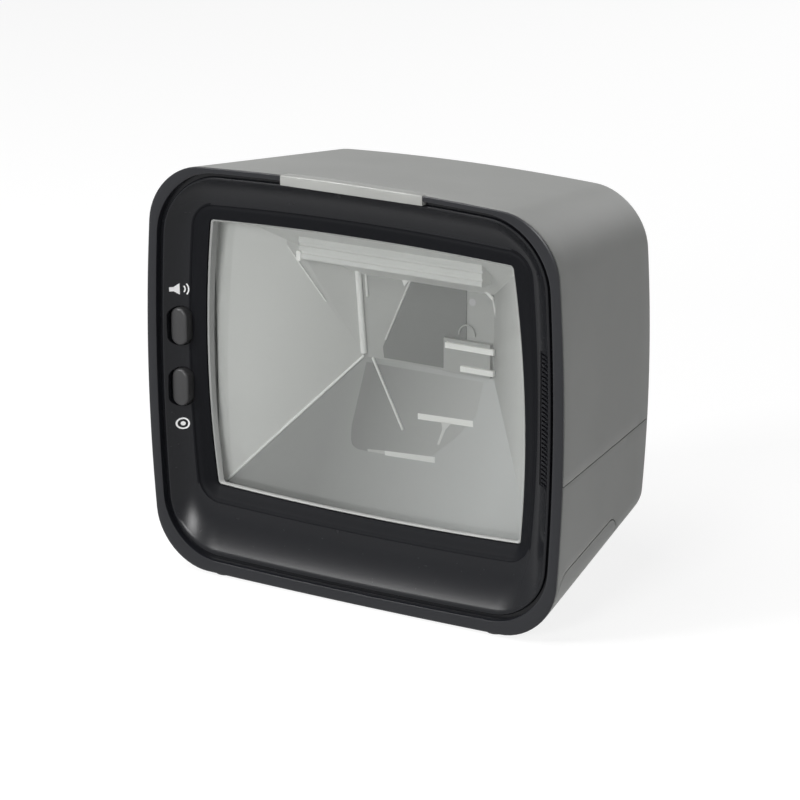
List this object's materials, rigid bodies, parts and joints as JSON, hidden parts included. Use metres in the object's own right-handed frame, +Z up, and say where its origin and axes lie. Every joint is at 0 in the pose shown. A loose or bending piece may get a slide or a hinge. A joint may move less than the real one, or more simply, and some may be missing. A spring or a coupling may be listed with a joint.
{
  "type": "presentation barcode scanner",
  "caption": "Upright countertop code reader with a tall recessed window in a dark dished bezel, a top light bar, push buttons and a grey tapered housing.",
  "frame": {"origin": "under the middle of the bounding box, on the surface the feet stand on", "axes": "+Z up, the window looks along -Y, +X to the right seen from the front"},
  "size_m": [0.1518, 0.097, 0.1369],
  "materials": {
    "housing": "fine matt grey moulding",
    "bezel": "gloss black moulding",
    "keys": "satin dark grey",
    "seal": "light grey silicone",
    "glass": "clear polished",
    "light_bar": "translucent white",
    "chamber": "light grey moulding",
    "mirror": "front-coated reflector",
    "circuit_board": "green solder mask",
    "dark_plastic": "black moulding",
    "shield": "tinned sheet",
    "steel": "zinc plated",
    "brass": "turned",
    "rubber": "matt"
  },
  "bodies": {
    "scanner": {"housing_upper": "housing", "housing_lower": "housing", "base_cover": "housing", "front_bezel": "bezel", "speaker_grille": "bezel", "window_seal": "seal", "window_glass": "glass", "camera_lens": "glass", "indicator_lens": "light_bar", "hanging_diffuser": "light_bar", "upper_light_bar": "light_bar", "lower_light_bar": "light_bar", "optics_chassis": "chamber", "top_reflector": "chamber", "floor_mirror": "mirror", "left_mirror": "mirror", "right_mirror": "mirror", "indicator_board": "circuit_board", "button_board": "circuit_board", "diffuser_board": "circuit_board", "bar_board": "circuit_board", "camera_board": "circuit_board", "main_board": "circuit_board", "interface_board": "circuit_board", "camera_bracket": "dark_plastic", "camera_barrel": "dark_plastic", "speaker": "dark_plastic", "board_chips": "dark_plastic", "host_socket": "dark_plastic", "aux_socket": "dark_plastic", "power_socket": "dark_plastic", "link_headers": "dark_plastic", "volume_switch": "dark_plastic", "tone_switch": "dark_plastic", "link_ribbon": "dark_plastic", "board_shield": "shield", "indicator_screws": "steel", "button_screws": "steel", "chassis_screws": "steel", "bracket_screws": "steel", "camera_screws": "steel", "main_screws": "steel", "interface_screws": "steel", "shell_screws": "steel", "base_screws": "steel", "mount_inserts": "brass", "front_feet": "rubber", "rear_feet": "rubber", "speaker_duct": "rubber"},
    "volume_key": {"volume_button": "keys", "volume_plunger": "dark_plastic"},
    "tone_key": {"tone_button": "keys", "tone_plunger": "dark_plastic"}
  },
  "joints": [
    {"name": "volume_press", "type": "slide", "parent": "scanner", "child": "volume_key", "axis": [0, 1, 0], "range_m": [0, 0.001], "stiffness_N_per_m": 1500, "springref_m": -0.0004},
    {"name": "tone_press", "type": "slide", "parent": "scanner", "child": "tone_key", "axis": [0, 1, 0], "range_m": [0, 0.001], "stiffness_N_per_m": 1500, "springref_m": -0.0004}
  ]
}
